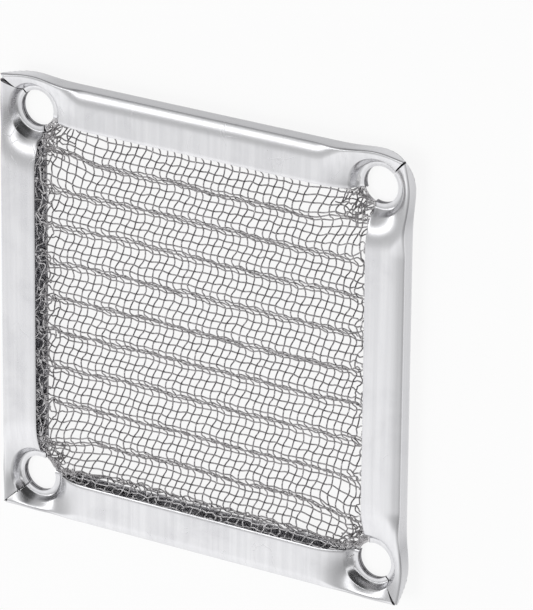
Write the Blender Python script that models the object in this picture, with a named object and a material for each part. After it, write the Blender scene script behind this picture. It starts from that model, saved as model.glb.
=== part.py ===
"""Dust filter for a small square fan.

One aluminium sheet is folded into a shallow square tray: a flat back with a square window, four
low walls and four flanges turned inward, which meet at mitred corners. The flanges hold a
corrugated wire mesh. At each corner a punch has pressed the flanges down towards the back round
a screw hole, so the walls bulge there and each mitre ends in a pointed tip.

Lengths are metres and +Z is up. The filter lies on its back: the back face is at z = 0 and the
window is centred on the Z axis. Ridges of the mesh run along X.
"""
import math

import bmesh
import bpy

MM = 0.001

# Folded sheet
FRAME_SIZE = 58.9 * MM
FRAME_HEIGHT = 3.1 * MM
SHEET = 0.4 * MM
FLANGE_WIDTH = 5.3 * MM
WINDOW = FRAME_SIZE - 2 * FLANGE_WIDTH
BACK_FOLD_RADIUS = 0.9 * MM
FRONT_FOLD_RADIUS = 1.1 * MM
PINCHED_FOLD_RADIUS = 0.65 * MM

# Screw holes, each in a flat ring at the bottom of a cup that the punch has drawn in the flanges
HOLE_INSET = 4.45 * MM
HOLE_PITCH = FRAME_SIZE - 2 * HOLE_INSET
HOLE_DIAMETER = 4.8 * MM
RING_DIAMETER = 6.4 * MM
RING_HEIGHT = 0.85 * MM
RING_SHEET = 0.3 * MM
CUP_DIAMETER = 7.2 * MM
CUP_DEPTH = 0.7 * MM
CUP_LIP = 0.1 * MM
CUP_TRIM = 0.05 * MM

# Corners: flanges pressed down round the cups, bulged walls, mitres and tips
PRESS_REACH = 8.2 * MM
PRESS_FALL = 1.6
WALL_BULGE = 0.35 * MM
BULGE_SPREAD = 3.0 * MM
SEAM_GAP = 0.2 * MM
BACK_CORNER_RADIUS = 4.1 * MM
TIP_RADIUS = 6.5 * MM
CORNER_FLARE = 0.8

# Wire mesh
CLEARANCE = 0.3 * MM
WALL_CLEARANCE = 1.35 * MM
MESH_SIZE = FRAME_SIZE - 2 * (SHEET + WALL_CLEARANCE)
MESH_WALL = 0.3 * MM
RIDGE_PITCH = 4.72 * MM
RIDGE_OFFSET = 1.58 * MM
WINDOW_RIDGE_DEPTH = 1.9 * MM
EDGE_CRUSH = 3.0 * MM
LATTICE_MARGIN = 1.95 * MM
LATTICE_SIZE = WINDOW - 2 * LATTICE_MARGIN
GAP_COLUMNS = 12
GAP_WIDTH = 2.9 * MM
NOTCH_RADIUS = 4.3 * MM

# Fineness of the faceted surfaces
BACK_STEPS = 2
FOLD_STEPS = 3
FLANGE_STEPS = 5
RIDGE_STEPS = 8
RIDGE_GAP_STEPS = 6
ARC_STEPS = 28
STATION_STEPS = 8
STATION_FIRST = 0.8 * MM
STATION_GROWTH = 1.22

# Looks
ALUMINIUM = ("aluminium", (0.78, 0.78, 0.80, 1.0), 0.32)
STEEL_WIRE = ("steel_wire", (0.30, 0.29, 0.28, 1.0), 0.38)

HALF_SIZE = FRAME_SIZE / 2
HALF_WINDOW = WINDOW / 2
HALF_PITCH = HOLE_PITCH / 2


def smooth(value):
    """Ease from 0 to 1 with flat ends."""
    value = min(max(value, 0.0), 1.0)
    return value * value * (3 - 2 * value)


def mix(low, high, share):
    return low + (high - low) * share


def hole_distance(x, y):
    """Distance in plan from the axis of the nearest screw hole."""
    return math.hypot(abs(x) - HALF_PITCH, abs(y) - HALF_PITCH)


def pressed_depth(x, y):
    """How far the punch has pushed the flange down at a point in plan, outside the cup."""
    deepest = FRAME_HEIGHT - RING_HEIGHT - CUP_DEPTH
    away = (hole_distance(x, y) - CUP_DIAMETER / 2) / (PRESS_REACH - CUP_DIAMETER / 2)
    return deepest * (1 - min(max(away, 0.0), 1.0)) ** PRESS_FALL


def front_radius(along):
    """The front fold is pinched tight beside the holes and rounder between them."""
    pinch = smooth((abs(along) - HALF_PITCH + PRESS_REACH) / (PRESS_REACH - CUP_DIAMETER / 2))
    return mix(FRONT_FOLD_RADIUS, PINCHED_FOLD_RADIUS, pinch)


def fold_arc(centre_out, centre_height, radius, start, steps):
    """Outer and inner points of a quarter turn of the sheet, outward side first."""
    points = []
    for step in range(steps + 1):
        angle = math.radians(start + 90 * step / steps)
        pair = []
        for bend in (radius, radius - SHEET):
            pair.append((centre_out + bend * math.cos(angle), centre_height + bend * math.sin(angle)))
        points.append(tuple(pair))
    return points


def folded_section(radius):
    """Section of one side from the back's window edge round to the flange's window edge.

    Each entry is ((out, height), (out, height)): a point of the outer skin and the point of the
    inner skin behind it, with out measured from the middle of the window.
    """
    back_end = HALF_SIZE - BACK_FOLD_RADIUS
    flange_start = HALF_SIZE - radius
    section = []
    for step in range(BACK_STEPS):
        out = mix(HALF_WINDOW, back_end, step / BACK_STEPS)
        section.append(((out, 0.0), (out, SHEET)))
    section += fold_arc(back_end, BACK_FOLD_RADIUS, BACK_FOLD_RADIUS, -90, FOLD_STEPS)
    section += fold_arc(flange_start, FRAME_HEIGHT - radius, radius, 0, FOLD_STEPS)
    for step in range(1, FLANGE_STEPS + 1):
        out = mix(flange_start, HALF_WINDOW, step / FLANGE_STEPS)
        section.append(((out, FRAME_HEIGHT), (out, FRAME_HEIGHT - SHEET)))
    return section


def is_back(index):
    """Whether a place in the section lies on the flat back, which has no seam."""
    return index <= BACK_STEPS


def is_front(index):
    """Whether a place in the section lies above the wall and sinks with the pressed flange."""
    return index > BACK_STEPS + FOLD_STEPS


def corner_limit(height):
    """Furthest that the tray reaches from a hole's axis towards the tip, at a height."""
    share = min(max(height / FRAME_HEIGHT, 0.0), 1.0)
    return mix(BACK_CORNER_RADIUS, TIP_RADIUS, share ** CORNER_FLARE)


def place_on_side(share, point, index):
    """Plan position and height of a section's point at a share of the side's length."""
    out, height = point
    seam = 0.0 if is_back(index) else SEAM_GAP / math.sqrt(2)
    along = share * (out - seam)
    if is_front(index):
        height -= pressed_depth(along, out)
    bulge = WALL_BULGE * math.exp(-((abs(along) - HALF_PITCH) / BULGE_SPREAD) ** 2)
    out += bulge * smooth((out - HALF_SIZE + BACK_FOLD_RADIUS) / (BACK_FOLD_RADIUS - SHEET))
    past_along = abs(along) - HALF_PITCH
    past_out = out - HALF_PITCH
    if past_along > 0 and past_out > 0:
        reach = math.hypot(past_along, past_out)
        limit = max(corner_limit(height), past_out)
        if reach > limit:
            along = math.copysign(HALF_PITCH + past_along * limit / reach, along)
            out = HALF_PITCH + past_out * limit / reach
    return along, out, height


def stations():
    """Shares of a side's length at which its section is set, close together at the corners."""
    shares = [1.0]
    step = STATION_FIRST
    for _ in range(STATION_STEPS):
        shares.append(shares[-1] - step / HALF_SIZE)
        step *= STATION_GROWTH
    return [-share for share in shares] + shares[::-1]


def turn(along, out, side):
    """Turn a side's own plan position to its place round the window, side 0 facing -Y."""
    for _ in range(side):
        along, out = -out, along
    return along, out


def add_side(mesh, side):
    """Loft the folded section along one side, with mitred ends above the back."""
    rows = []
    for share in stations():
        section = folded_section(front_radius(share * HALF_SIZE))
        ring = []
        for skin in (0, 1):
            line = []
            for index, pair in enumerate(section):
                along, out, height = place_on_side(share, pair[skin], index)
                x, y = turn(along, -out, side)
                line.append(mesh.verts.new((x, y, height)))
            ring.append(line)
        rows.append(ring)
    for (outer, inner), (next_outer, next_inner) in zip(rows, rows[1:]):
        loop = outer + inner[::-1]
        next_loop = next_outer + next_inner[::-1]
        for place in range(len(loop)):
            after = (place + 1) % len(loop)
            mesh.faces.new((loop[place], loop[after], next_loop[after], next_loop[place]))
    for outer, inner in (rows[0], rows[-1]):
        for index in range(BACK_STEPS, len(outer) - 1):
            mesh.faces.new((outer[index], outer[index + 1], inner[index + 1], inner[index]))


def new_object(name, mesh):
    """Turn a bmesh into a scene object with outward faces."""
    bmesh.ops.recalc_face_normals(mesh, faces=mesh.faces)
    data = bpy.data.meshes.new(name)
    mesh.to_mesh(data)
    mesh.free()
    made = bpy.data.objects.new(name, data)
    bpy.context.collection.objects.link(made)
    return made


def hide_guide(guide):
    guide.hide_render = True
    guide.display_type = "WIRE"


def combine(target, guide, operation):
    """Cut a guide object out of a target, or join it on."""
    change = target.modifiers.new(guide.name, "BOOLEAN")
    change.operation = operation
    change.solver = "EXACT"
    change.object = guide


def prism(mesh, outline, low, high):
    """Add an upright closed prism over an outline given anticlockwise."""
    bottom = [mesh.verts.new((x, y, low)) for x, y in outline]
    top = [mesh.verts.new((x, y, high)) for x, y in outline]
    mesh.faces.new(bottom[::-1])
    mesh.faces.new(top)
    for place in range(len(outline)):
        after = (place + 1) % len(outline)
        mesh.faces.new((bottom[place], bottom[after], top[after], top[place]))


def arc(radius, start, end, steps):
    """Points of an arc about the origin, with angles in radians."""
    angles = [mix(start, end, step / steps) for step in range(steps + 1)]
    return [(radius * math.cos(angle), radius * math.sin(angle)) for angle in angles]


def placed(points, x, y):
    return [(x + px, y + py) for px, py in points]


def add_turned_ring(mesh, x, y, section):
    """Turn a closed section of (radius, height) points about an upright axis."""
    circles = []
    for radius, height in section:
        circle = placed(arc(radius, 0, math.tau, ARC_STEPS)[:-1], x, y)
        circles.append([mesh.verts.new((px, py, height)) for px, py in circle])
    for circle, above in zip(circles, circles[1:] + circles[:1]):
        for place in range(ARC_STEPS):
            after = (place + 1) % ARC_STEPS
            mesh.faces.new((circle[place], circle[after], above[after], above[place]))


def cup_section():
    """Section of a drawn cup: the flat ring, the steep wall and a lip inside the flange."""
    ring = RING_DIAMETER / 2
    mouth = CUP_DIAMETER / 2 - CUP_LIP
    lip_height = RING_HEIGHT + CUP_DEPTH - CUP_LIP
    overlap = HOLE_DIAMETER / 2 - RING_SHEET
    wall_out = mouth + SHEET - CUP_TRIM
    return (
        (overlap, RING_HEIGHT),
        (ring, RING_HEIGHT),
        (mouth, lip_height),
        (wall_out, lip_height),
        (ring + SHEET / 2, RING_HEIGHT - RING_SHEET),
        (overlap, RING_HEIGHT - RING_SHEET),
    )


def corner_signs():
    return ((1, 1), (-1, 1), (-1, -1), (1, -1))


def make_corner_prisms(name, outline, low):
    """One upright cutter at each screw hole, over an outline about the hole's axis."""
    mesh = bmesh.new()
    for x_sign, y_sign in corner_signs():
        centred = placed(outline, x_sign * HALF_PITCH, y_sign * HALF_PITCH)
        prism(mesh, centred, low, 2 * FRAME_HEIGHT)
    cutter = new_object(name, mesh)
    hide_guide(cutter)
    return cutter


def make_cup_trim():
    """Cutter that keeps the cups out of the window and splits each along its mitre."""
    mesh = bmesh.new()
    edge = HALF_WINDOW + CUP_TRIM
    window = [(edge, edge), (-edge, edge), (-edge, -edge), (edge, -edge)]
    prism(mesh, window, -FRAME_HEIGHT, 2 * FRAME_HEIGHT)
    trim = new_object("cup_window_trim", mesh)
    hide_guide(trim)
    mesh = bmesh.new()
    half_slit = SEAM_GAP / 2 - SEAM_GAP / 8
    start = HALF_PITCH * math.sqrt(2)
    end = start + CUP_DIAMETER
    slit = [(start, -half_slit), (end, -half_slit), (end, half_slit), (start, half_slit)]
    for side in range(4):
        angle = math.radians(45 + 90 * side)
        turned = []
        for along, across in slit:
            x = along * math.cos(angle) - across * math.sin(angle)
            y = along * math.sin(angle) + across * math.cos(angle)
            turned.append((x, y))
        prism(mesh, turned, -FRAME_HEIGHT, 2 * FRAME_HEIGHT)
    slits = new_object("cup_slits", mesh)
    hide_guide(slits)
    return trim, slits


def make_cups():
    mesh = bmesh.new()
    for x_sign, y_sign in corner_signs():
        add_turned_ring(mesh, x_sign * HALF_PITCH, y_sign * HALF_PITCH, cup_section())
    cups = new_object("drawn_cups", mesh)
    hide_guide(cups)
    for cutter in make_cup_trim():
        combine(cups, cutter, "DIFFERENCE")
    return cups


def make_frame():
    mesh = bmesh.new()
    for side in range(4):
        add_side(mesh, side)
    bmesh.ops.remove_doubles(mesh, verts=mesh.verts, dist=SEAM_GAP / 100)
    frame = new_object("frame", mesh)
    between = math.pi / ARC_STEPS
    mouth = arc(CUP_DIAMETER / 2, between, math.tau + between, ARC_STEPS)[:-1]
    hole = arc(HOLE_DIAMETER / 2, between, math.tau + between, ARC_STEPS)[:-1]
    combine(frame, make_corner_prisms("mouth_cutter", mouth, RING_HEIGHT), "DIFFERENCE")
    combine(frame, make_cups(), "UNION")
    combine(frame, make_corner_prisms("hole_cutter", hole, -FRAME_HEIGHT), "DIFFERENCE")
    return frame


def mesh_limits(x, y):
    """Lowest and highest place for the middle of the mesh wall at a point in plan."""
    half_wall = MESH_WALL / 2
    middle = FRAME_HEIGHT / 2
    channel_low = SHEET + CLEARANCE + half_wall
    channel_high = FRAME_HEIGHT - channel_low
    inside = smooth((HALF_WINDOW - max(abs(x), abs(y))) / EDGE_CRUSH)
    low = mix(channel_low, middle - WINDOW_RIDGE_DEPTH / 2, inside)
    high = mix(channel_high, middle + WINDOW_RIDGE_DEPTH / 2, inside)
    high = max(high - pressed_depth(x, y), low)
    return low, high


def mesh_height(x, y):
    """Height of the middle of the mesh wall: a rounded wave between its two limits."""
    low, high = mesh_limits(x, y)
    wave = math.cos(math.tau * (y - RIDGE_OFFSET) / RIDGE_PITCH)
    return mix(low, high, 0.5 + 0.5 * wave)


def lattice_columns():
    """X of the mesh's edges and of both sides of each gap, and the gap columns' indices."""
    pitch = LATTICE_SIZE / GAP_COLUMNS
    lines = [-MESH_SIZE / 2, -HALF_WINDOW]
    gaps = set()
    for column in range(GAP_COLUMNS):
        middle = -LATTICE_SIZE / 2 + pitch * (column + 0.5)
        gaps.add(len(lines))
        lines += [middle - GAP_WIDTH / 2, middle + GAP_WIDTH / 2]
    return lines + [HALF_WINDOW, MESH_SIZE / 2], gaps


def lattice_rows():
    """Y of the mesh's edges and of the steps along its ridges, and the gap rows' indices.

    The solid bars between the gaps lie on the ridges, with the rest of each ridge open.
    """
    step = RIDGE_PITCH / RIDGE_STEPS
    half = MESH_SIZE / 2
    first = math.ceil((-half + step / 2 - RIDGE_OFFSET) / step)
    last = math.floor((half - step / 2 - RIDGE_OFFSET) / step)
    lines = [-half]
    gaps = set()
    bar_steps = (RIDGE_STEPS - RIDGE_GAP_STEPS) // 2
    for count in range(first, last + 1):
        ridge = (count - bar_steps) // RIDGE_STEPS
        gap_low = RIDGE_OFFSET + ridge * RIDGE_PITCH + bar_steps * step
        gap_high = gap_low + RIDGE_GAP_STEPS * step
        in_field = max(abs(gap_low), abs(gap_high)) < LATTICE_SIZE / 2
        if in_field and (count - bar_steps) % RIDGE_STEPS < RIDGE_GAP_STEPS:
            gaps.add(len(lines))
        lines.append(RIDGE_OFFSET + count * step)
    return lines + [half], gaps


def notch_outline(x_sign, y_sign):
    """Where a corner of the mesh is cut away under the pressed flanges and round the hole."""
    edge = HALF_WINDOW - CLEARANCE - HALF_PITCH
    big = math.acos(edge / NOTCH_RADIUS)
    small = math.acos(edge / (HOLE_DIAMETER / 2))
    quarter = math.pi / 2
    outline = arc(NOTCH_RADIUS, -big, quarter + big, ARC_STEPS)
    inner_steps = ARC_STEPS // 4
    outline += arc(HOLE_DIAMETER / 2, quarter + small, math.tau - small, inner_steps)
    mirrored = [(x_sign * (HALF_PITCH + x), y_sign * (HALF_PITCH + y)) for x, y in outline]
    return mirrored if x_sign == y_sign else mirrored[::-1]


def make_notch_cutter():
    mesh = bmesh.new()
    for x_sign, y_sign in corner_signs():
        prism(mesh, notch_outline(x_sign, y_sign), -FRAME_HEIGHT, 2 * FRAME_HEIGHT)
    cutter = new_object("notch_cutter", mesh)
    hide_guide(cutter)
    return cutter


def make_wire_mesh():
    xs, gap_columns = lattice_columns()
    ys, gap_rows = lattice_rows()
    mesh = bmesh.new()
    grid = [[mesh.verts.new((x, y, mesh_height(x, y))) for x in xs] for y in ys]
    for row in range(len(ys) - 1):
        for column in range(len(xs) - 1):
            if row in gap_rows and column in gap_columns:
                continue
            low, high = grid[row], grid[row + 1]
            mesh.faces.new((low[column], low[column + 1], high[column + 1], high[column]))
    loose = [vert for vert in mesh.verts if not vert.link_faces]
    bmesh.ops.delete(mesh, geom=loose, context="VERTS")
    wire_mesh = new_object("wire_mesh", mesh)
    wall = wire_mesh.modifiers.new("wall", "SOLIDIFY")
    wall.thickness = MESH_WALL
    wall.offset = 0
    wall.use_even_offset = True
    combine(wire_mesh, make_notch_cutter(), "DIFFERENCE")
    return wire_mesh


def dress(target, look):
    """Give an object its material and smooth shading with sharp cut edges."""
    name, colour, roughness = look
    material = bpy.data.materials.new(name)
    material.use_nodes = True
    shader = material.node_tree.nodes["Principled BSDF"]
    shader.inputs["Base Color"].default_value = colour
    shader.inputs["Metallic"].default_value = 1.0
    shader.inputs["Roughness"].default_value = roughness
    target.data.materials.append(material)
    target.data.shade_smooth()
    target.data.set_sharp_from_angle(angle=math.radians(50))


def clear_scene():
    for item in list(bpy.data.objects):
        bpy.data.objects.remove(item, do_unlink=True)


def main():
    clear_scene()
    dress(make_frame(), ALUMINIUM)
    dress(make_wire_mesh(), STEEL_WIRE)


main()
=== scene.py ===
"""Looks of a dust filter for a small square fan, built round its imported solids.

The filter is one aluminium sheet folded into a shallow tray round a corrugated, woven steel
mesh. The folded tray is bent from flat blanks, one for the middle of each side and one for each
end of a side, where the rows of faces run in rings round the screw hole. The mesh is woven from
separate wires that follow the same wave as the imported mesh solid.

Lengths are metres, +Z is up and the back face lies on the floor at z = 0.
"""

from __future__ import annotations

import logging
import math
from dataclasses import dataclass, field
from enum import Enum

import bpy
import numpy as np
from mathutils import Matrix, Vector, noise

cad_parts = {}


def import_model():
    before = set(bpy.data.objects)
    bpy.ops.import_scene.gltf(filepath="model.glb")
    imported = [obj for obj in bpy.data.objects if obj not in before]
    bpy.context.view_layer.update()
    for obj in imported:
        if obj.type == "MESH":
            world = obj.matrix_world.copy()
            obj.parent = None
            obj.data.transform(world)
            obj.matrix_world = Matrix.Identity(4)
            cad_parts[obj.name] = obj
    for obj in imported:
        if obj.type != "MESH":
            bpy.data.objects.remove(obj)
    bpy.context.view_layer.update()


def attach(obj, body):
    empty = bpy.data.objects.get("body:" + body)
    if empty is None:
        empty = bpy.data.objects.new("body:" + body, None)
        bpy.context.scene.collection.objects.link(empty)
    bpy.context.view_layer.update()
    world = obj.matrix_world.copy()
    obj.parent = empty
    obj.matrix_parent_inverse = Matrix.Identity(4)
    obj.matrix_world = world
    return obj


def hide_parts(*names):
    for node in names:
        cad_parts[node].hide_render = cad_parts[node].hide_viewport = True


LOG = logging.getLogger("dust_filter")
MM = 0.001
BODY = "root"

Colour = tuple[float, float, float, float]
Point = tuple[float, float, float]


# Small helpers


def ease(value: float) -> float:
    """Go from 0 to 1 with flat ends.

    Args:
        value: Share, clamped to 0..1.

    Returns:
        The eased share.
    """
    value = min(max(value, 0.0), 1.0)
    return value * value * (3 - 2 * value)


def mix(low: float, high: float, share: float) -> float:
    """Return the value at a share of the way from low to high."""
    return low + (high - low) * share


def between(first: tuple[float, ...], second: tuple[float, ...], share: float
            ) -> tuple[float, float]:
    """Return the place in plan at a share of the way from one place to another."""
    return mix(first[0], second[0], share), mix(first[1], second[1], share)


def grey(value: float) -> Colour:
    """Return an opaque grey."""
    return value, value, value, 1.0


def soft_min(first: float, second: float, blend: float) -> float:
    """Return the smaller of two values, rounded over where they are closer than blend."""
    share = max(blend - abs(first - second), 0.0) / blend
    return min(first, second) - share * share * blend / 4


def deselect_all() -> None:
    """Deselect every object, so that an operator acts only on what is picked next."""
    if bpy.context.mode != "OBJECT":
        bpy.ops.object.mode_set(mode="OBJECT")
    bpy.ops.object.select_all(action="DESELECT")


def pick(target: bpy.types.Object) -> None:
    """Make one object the only selected and the active one.

    Args:
        target: The object.
    """
    deselect_all()
    target.select_set(True)
    bpy.context.view_layer.objects.active = target


def join(parts: list[bpy.types.Object], name: str) -> bpy.types.Object:
    """Join mesh objects into one.

    Args:
        parts: The objects; the first one keeps the result.
        name: Name of the joined piece.

    Returns:
        The joined object.
    """
    deselect_all()
    for part in parts:
        part.select_set(True)
    bpy.context.view_layer.objects.active = parts[0]
    bpy.ops.object.join()
    joined = bpy.context.view_layer.objects.active
    joined.name = joined.data.name = name
    return joined


def apply_modifier(target: bpy.types.Object, kind: str, **settings: object) -> None:
    """Add a modifier and apply it at once.

    Args:
        target: The object to change.
        kind: Blender's name of the modifier type.
        settings: Properties of the modifier.
    """
    pick(target)
    change = target.modifiers.new(kind.lower(), kind)
    for key, value in settings.items():
        setattr(change, key, value)
    bpy.ops.object.modifier_apply(modifier=change.name)


def vertex_places(mesh: bpy.types.Mesh) -> np.ndarray:
    """Read where a mesh's vertices are.

    Args:
        mesh: The mesh.

    Returns:
        One row of X, Y and Z for each vertex.
    """
    places = np.empty(len(mesh.vertices) * 3)
    mesh.vertices.foreach_get("co", places)
    return places.reshape(-1, 3)


# Node trees and finishes


class NodeBench:
    """Adds and links the nodes of one tree."""

    def __init__(self, tree: bpy.types.NodeTree) -> None:
        """Keep the tree that the nodes go into."""
        self.tree = tree

    def add(self, kind: str, inputs: dict | None = None, **settings: object) -> bpy.types.Node:
        """Add a node.

        Args:
            kind: Blender's name of the node type.
            inputs: Value or output socket for each input, by the input's name or number.
            settings: Properties of the node.

        Returns:
            The new node.
        """
        node = self.tree.nodes.new(kind)
        for key, value in settings.items():
            setattr(node, key, value)
        for key, value in (inputs or {}).items():
            socket = node.inputs[key]
            if isinstance(value, bpy.types.NodeSocket):
                self.tree.links.new(value, socket)
            else:
                socket.default_value = value
        return node

    def math(self, operation: str, *values: object, clamp: bool = False) -> bpy.types.NodeSocket:
        """Add a Math node and return its output."""
        return self.add("ShaderNodeMath", dict(enumerate(values)), operation=operation,
                        use_clamp=clamp).outputs[0]

    def vector(self, operation: str, *values: object) -> bpy.types.NodeSocket:
        """Add a Vector Math node and return its vector output."""
        return self.add("ShaderNodeVectorMath", dict(enumerate(values)),
                        operation=operation).outputs[0]

    def remap(self, value: object, low: float, high: float, to_low: float = 0.0,
              to_high: float = 1.0) -> bpy.types.NodeSocket:
        """Map a value smoothly from one range to another, clamped at both ends."""
        return self.add("ShaderNodeMapRange", {0: value, 1: low, 2: high, 3: to_low, 4: to_high},
                        interpolation_type="SMOOTHSTEP").outputs[0]

    def blend(self, share: object, first: object, second: object) -> bpy.types.NodeSocket:
        """Mix two colours by a share and return the colour."""
        return self.add("ShaderNodeMix", {0: share, 6: first, 7: second},
                        data_type="RGBA").outputs[2]

    def clouds(self, place: object, scale: object, detail: float, roughness: float = 0.5,
               distortion: float = 0.0) -> bpy.types.Node:
        """Add a Noise Texture and return the node."""
        return self.add("ShaderNodeTexNoise", {"Vector": place, "Scale": scale, "Detail": detail,
                                               "Roughness": roughness, "Distortion": distortion})


@dataclass(frozen=True)
class SharedEffect:
    """A shader node group that more than one finish uses."""

    name: str
    inputs: tuple[tuple[str, str, float], ...]
    outputs: tuple[str, ...]

    def start(self) -> tuple[bpy.types.NodeTree, NodeBench, dict, dict]:
        """Make the empty group.

        Returns:
            The group, its bench, its input sockets and its output sockets by name.
        """
        tree = bpy.data.node_groups.new(self.name, "ShaderNodeTree")
        face = tree.interface
        face.new_socket("Vector", in_out="INPUT", socket_type="NodeSocketVector")
        for name, kind, value in self.inputs:
            socket = face.new_socket(name, in_out="INPUT", socket_type=kind)
            socket.default_value = value
        for name in self.outputs:
            face.new_socket(name, in_out="OUTPUT", socket_type="NodeSocketFloat")
        entry = tree.nodes.new("NodeGroupInput")
        leave = tree.nodes.new("NodeGroupOutput")
        return tree, NodeBench(tree), dict(entry.outputs.items()), dict(leave.inputs.items())


def make_drawn_grain() -> bpy.types.NodeTree:
    """Build the fine straight grain that rolling or drawing leaves, running along Y.

    Returns:
        A group that puts out the grain's height and a broader streak tone.
    """
    effect = SharedEffect(
        "drawn_grain",
        (("Across", "NodeSocketFloat", 9000.0), ("Along", "NodeSocketFloat", 250.0)),
        ("Height", "Tone"),
    )
    tree, bench, given, result = effect.start()
    across, along = given["Across"], given["Along"]
    stretch = bench.add("ShaderNodeCombineXYZ", {0: across, 1: along, 2: across}).outputs[0]
    fine = bench.clouds(bench.vector("MULTIPLY", given["Vector"], stretch), 1.0, 4.0, 0.65)
    broader = bench.vector("MULTIPLY", stretch, (0.14, 0.10, 0.14))
    broad = bench.clouds(bench.vector("MULTIPLY", given["Vector"], broader), 1.0, 3.0, 0.55)
    tree.links.new(fine.outputs[0], result["Height"])
    tree.links.new(bench.remap(broad.outputs[0], 0.3, 0.7), result["Tone"])
    return tree


def make_handling_wear() -> bpy.types.NodeTree:
    """Build the smudges and stray scratches that handling leaves.

    Returns:
        A group that puts out a smudge mask and a scratch mask.
    """
    effect = SharedEffect(
        "handling_wear",
        (("Smudge Scale", "NodeSocketFloat", 160.0), ("Scratch Scale", "NodeSocketFloat", 420.0)),
        ("Smudge", "Scratch"),
    )
    tree, bench, given, result = effect.start()
    spot, scale = given["Vector"], given["Scratch Scale"]
    cloud = bench.clouds(spot, given["Smudge Scale"], 4.0, 0.6, distortion=0.4)
    tree.links.new(bench.remap(cloud.outputs[0], 0.42, 0.72), result["Smudge"])
    push = bench.clouds(spot, bench.math("MULTIPLY", scale, 0.6), 1.0).outputs[1]
    push = bench.vector("SUBTRACT", push, (0.5, 0.5, 0.5))
    bent = bench.vector("ADD", spot, bench.vector("MULTIPLY", push, (0.004, 0.004, 0.004)))
    lengthened = bench.vector("MULTIPLY", bent, (1.0, 0.35, 1.0))
    cells = bench.add("ShaderNodeTexVoronoi", {"Vector": lengthened, "Scale": scale},
                      feature="DISTANCE_TO_EDGE")
    line = bench.remap(cells.outputs[0], 0.012, 0.002)
    where = bench.clouds(spot, bench.math("MULTIPLY", scale, 0.45), 2.0)
    rare = bench.remap(where.outputs[0], 0.56, 0.66)
    tree.links.new(bench.math("MULTIPLY", line, rare), result["Scratch"])
    return tree


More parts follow.
